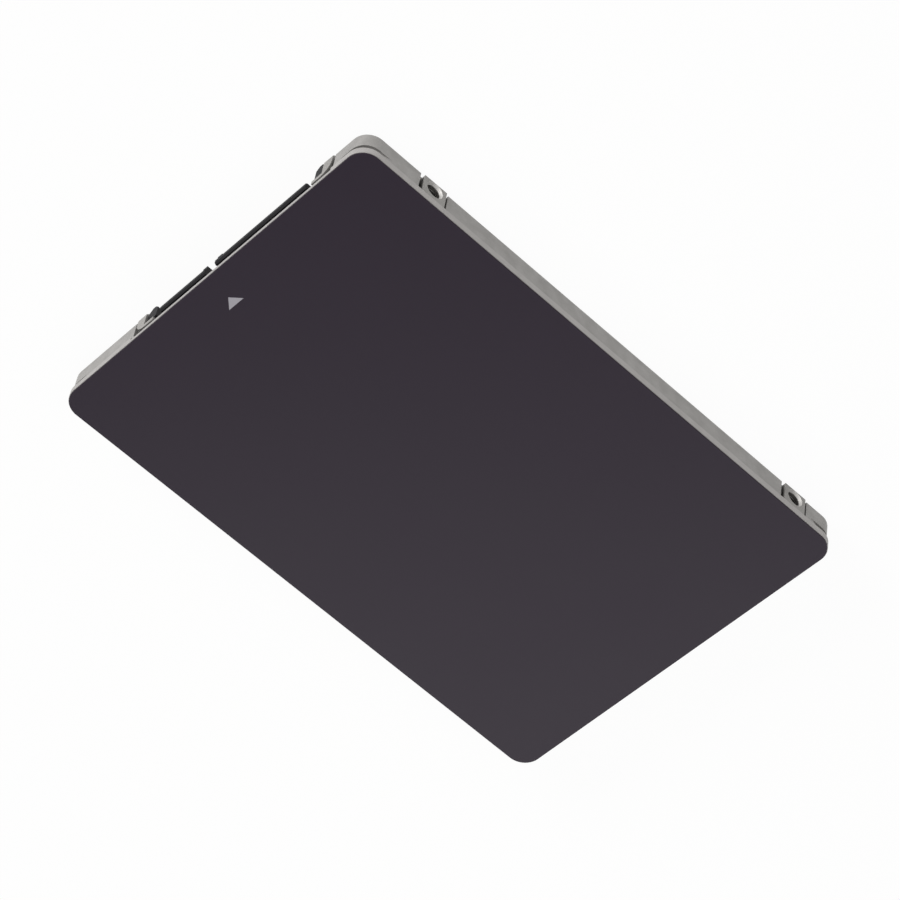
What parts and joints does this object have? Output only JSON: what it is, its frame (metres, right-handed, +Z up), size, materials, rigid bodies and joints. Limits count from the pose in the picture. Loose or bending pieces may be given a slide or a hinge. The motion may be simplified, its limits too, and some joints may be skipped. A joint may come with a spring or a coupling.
{
  "type": "2.5-inch solid state drive",
  "caption": "Flat 2.5-inch solid state drive: black-faced metal case, screw holes in its sides and base, and a combined data and power connector at one end.",
  "frame": {"origin": "middle of the resting face of the base", "axes": "+X along the drive, away from the connector end; +Z up, out of the black face"},
  "size_m": [0.1, 0.0698, 0.007],
  "materials": {
    "black_film": "satin black film, very slightly purple",
    "plate_aluminium": "fine satin, light grey",
    "cover_aluminium": "fine satin, light grey",
    "cast_aluminium": "cast, fine satin",
    "steel": "bright plated",
    "board_laminate": "green solder mask",
    "connector_plastic": "matte black moulding",
    "gold_contacts": "gold flash",
    "tinned_metal": "tin plate",
    "chip_resin": "matte black resin",
    "ferrite": "dark grey ferrite",
    "capacitor_resin": "moulded resin",
    "capacitor_ceramic": "tan ceramic",
    "thermal_pad": "soft grey pad"
  },
  "bodies": {
    "root": {"face_film": "black_film", "face_plate": "plate_aluminium", "top_cover": "cover_aluminium", "base_tray": "cast_aluminium", "cover_standoffs": "steel", "case_screws": "steel", "board_screws": "steel", "circuit_board": "board_laminate", "sata_housing": "connector_plastic", "sata_data_contacts": "gold_contacts", "sata_power_contacts": "gold_contacts", "sata_board_locks": "tinned_metal", "controller_chip": "chip_resin", "cache_chip": "chip_resin", "power_chip": "chip_resin", "boot_chip": "chip_resin", "clock_crystal": "tinned_metal", "power_inductor_1": "ferrite", "power_inductor_2": "ferrite", "bulk_capacitors": "capacitor_resin", "ceramic_capacitors": "capacitor_ceramic", "chip_resistors": "chip_resin", "controller_thermal_pad": "thermal_pad", "flash_thermal_pad_1": "thermal_pad", "flash_thermal_pad_2": "thermal_pad", "flash_chip_1": "chip_resin", "flash_chip_2": "chip_resin", "flash_chip_3": "chip_resin", "flash_chip_4": "chip_resin"}
  },
  "joints": []
}
